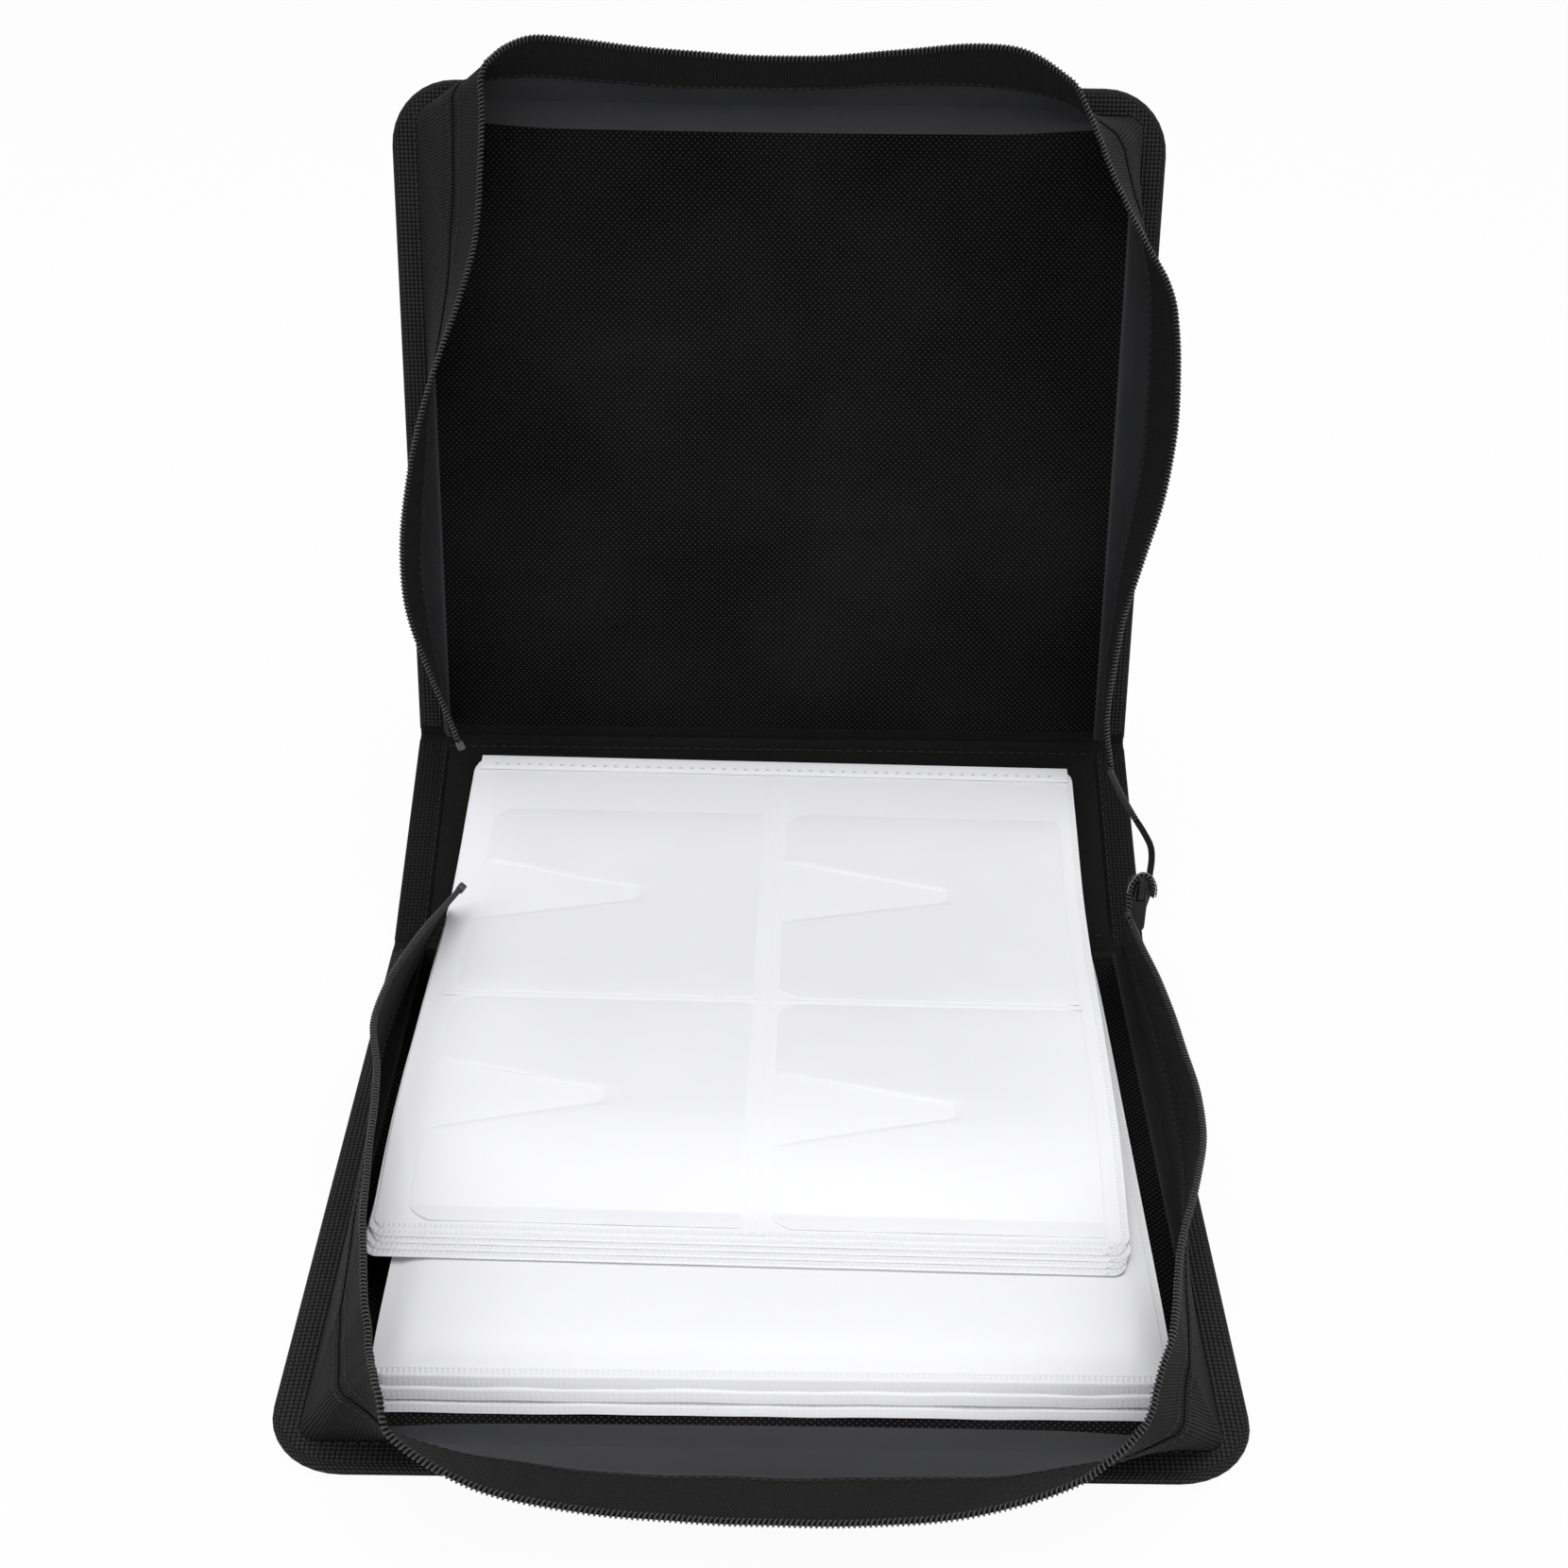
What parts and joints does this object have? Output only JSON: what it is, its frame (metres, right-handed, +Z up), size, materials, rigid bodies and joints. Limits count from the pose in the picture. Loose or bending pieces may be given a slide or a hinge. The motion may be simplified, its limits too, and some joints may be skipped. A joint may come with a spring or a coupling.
{
  "type": "disc storage album",
  "caption": "Zip-round fabric storage album for discs, lying open: base with side wall and zip, sloping spine, upright lid, sleeve pages in two bundles, slider with pull tab.",
  "frame": {"origin": "centre of the base's underside, on the surface it lies on", "axes": "+X to the right, where the zip's closed end and slider are; +Y from the base's front edge to the spine and lid; +Z up"},
  "size_m": [0.34, 0.5022, 0.3712],
  "materials": {
    "woven_cover": "black coarse plain weave",
    "stiffener": "plain grey board",
    "lining": "black non-woven with a fine dot emboss",
    "spine_lining": "black plain weave",
    "wall_fabric": "ribbed outside, smooth dark grey coating inside",
    "zip_tape": "black fine woven tape",
    "zip_coil": "black nylon coil, satin",
    "zip_hardware": "black satin",
    "sleeve": "white non-woven under clear film",
    "binding": "black tape"
  },
  "bodies": {
    "base": {"base_cover": "woven_cover", "base_board": "stiffener", "base_lining": "lining", "base_fold": "woven_cover", "base_wall": "wall_fabric", "base_zip_tape": "zip_tape", "base_zip_coil": "zip_coil", "base_top_stop": "zip_hardware", "page_bundle_lower": "sleeve", "page_bundle_upper": "sleeve", "lower_binding": "binding", "zip_slider": "zip_hardware", "zip_bottom_stop": "zip_hardware", "base_zip_tail": "zip_coil"},
    "spine": {"spine_cover": "woven_cover", "spine_board": "stiffener", "spine_lining": "spine_lining", "upper_binding": "binding", "lid_zip_tail_low": "zip_coil", "lid_zip_tail_high": "zip_coil"},
    "lid": {"lid_cover": "woven_cover", "lid_board": "stiffener", "lid_lining": "lining", "lid_fold": "woven_cover", "lid_wall": "wall_fabric", "lid_zip_tape": "zip_tape", "lid_zip_coil": "zip_coil", "lid_top_stop": "zip_hardware"},
    "pull": {"pull_tab": "zip_hardware"}
  },
  "joints": [
    {"name": "spine_hinge", "type": "hinge", "parent": "base", "child": "spine", "pos_m": [0, 0.1495, 0.0025], "axis": [1, 0, 0], "range_deg": [-23, 67], "deforming": ["page_bundle_upper", "base_zip_tail", "lid_zip_tail_low"]},
    {"name": "lid_hinge", "type": "hinge", "parent": "spine", "child": "lid", "pos_m": [0, 0.25812, 0.04861], "axis": [1, 0, 0], "range_deg": [-56.7, 33.3], "deforming": ["lid_zip_tail_high"]},
    {"name": "pull_hinge", "type": "hinge", "parent": "base", "child": "pull", "pos_m": [0.158, 0.126, 0.0568], "axis": [1, 0, 0], "range_deg": [-160, 0]}
  ]
}
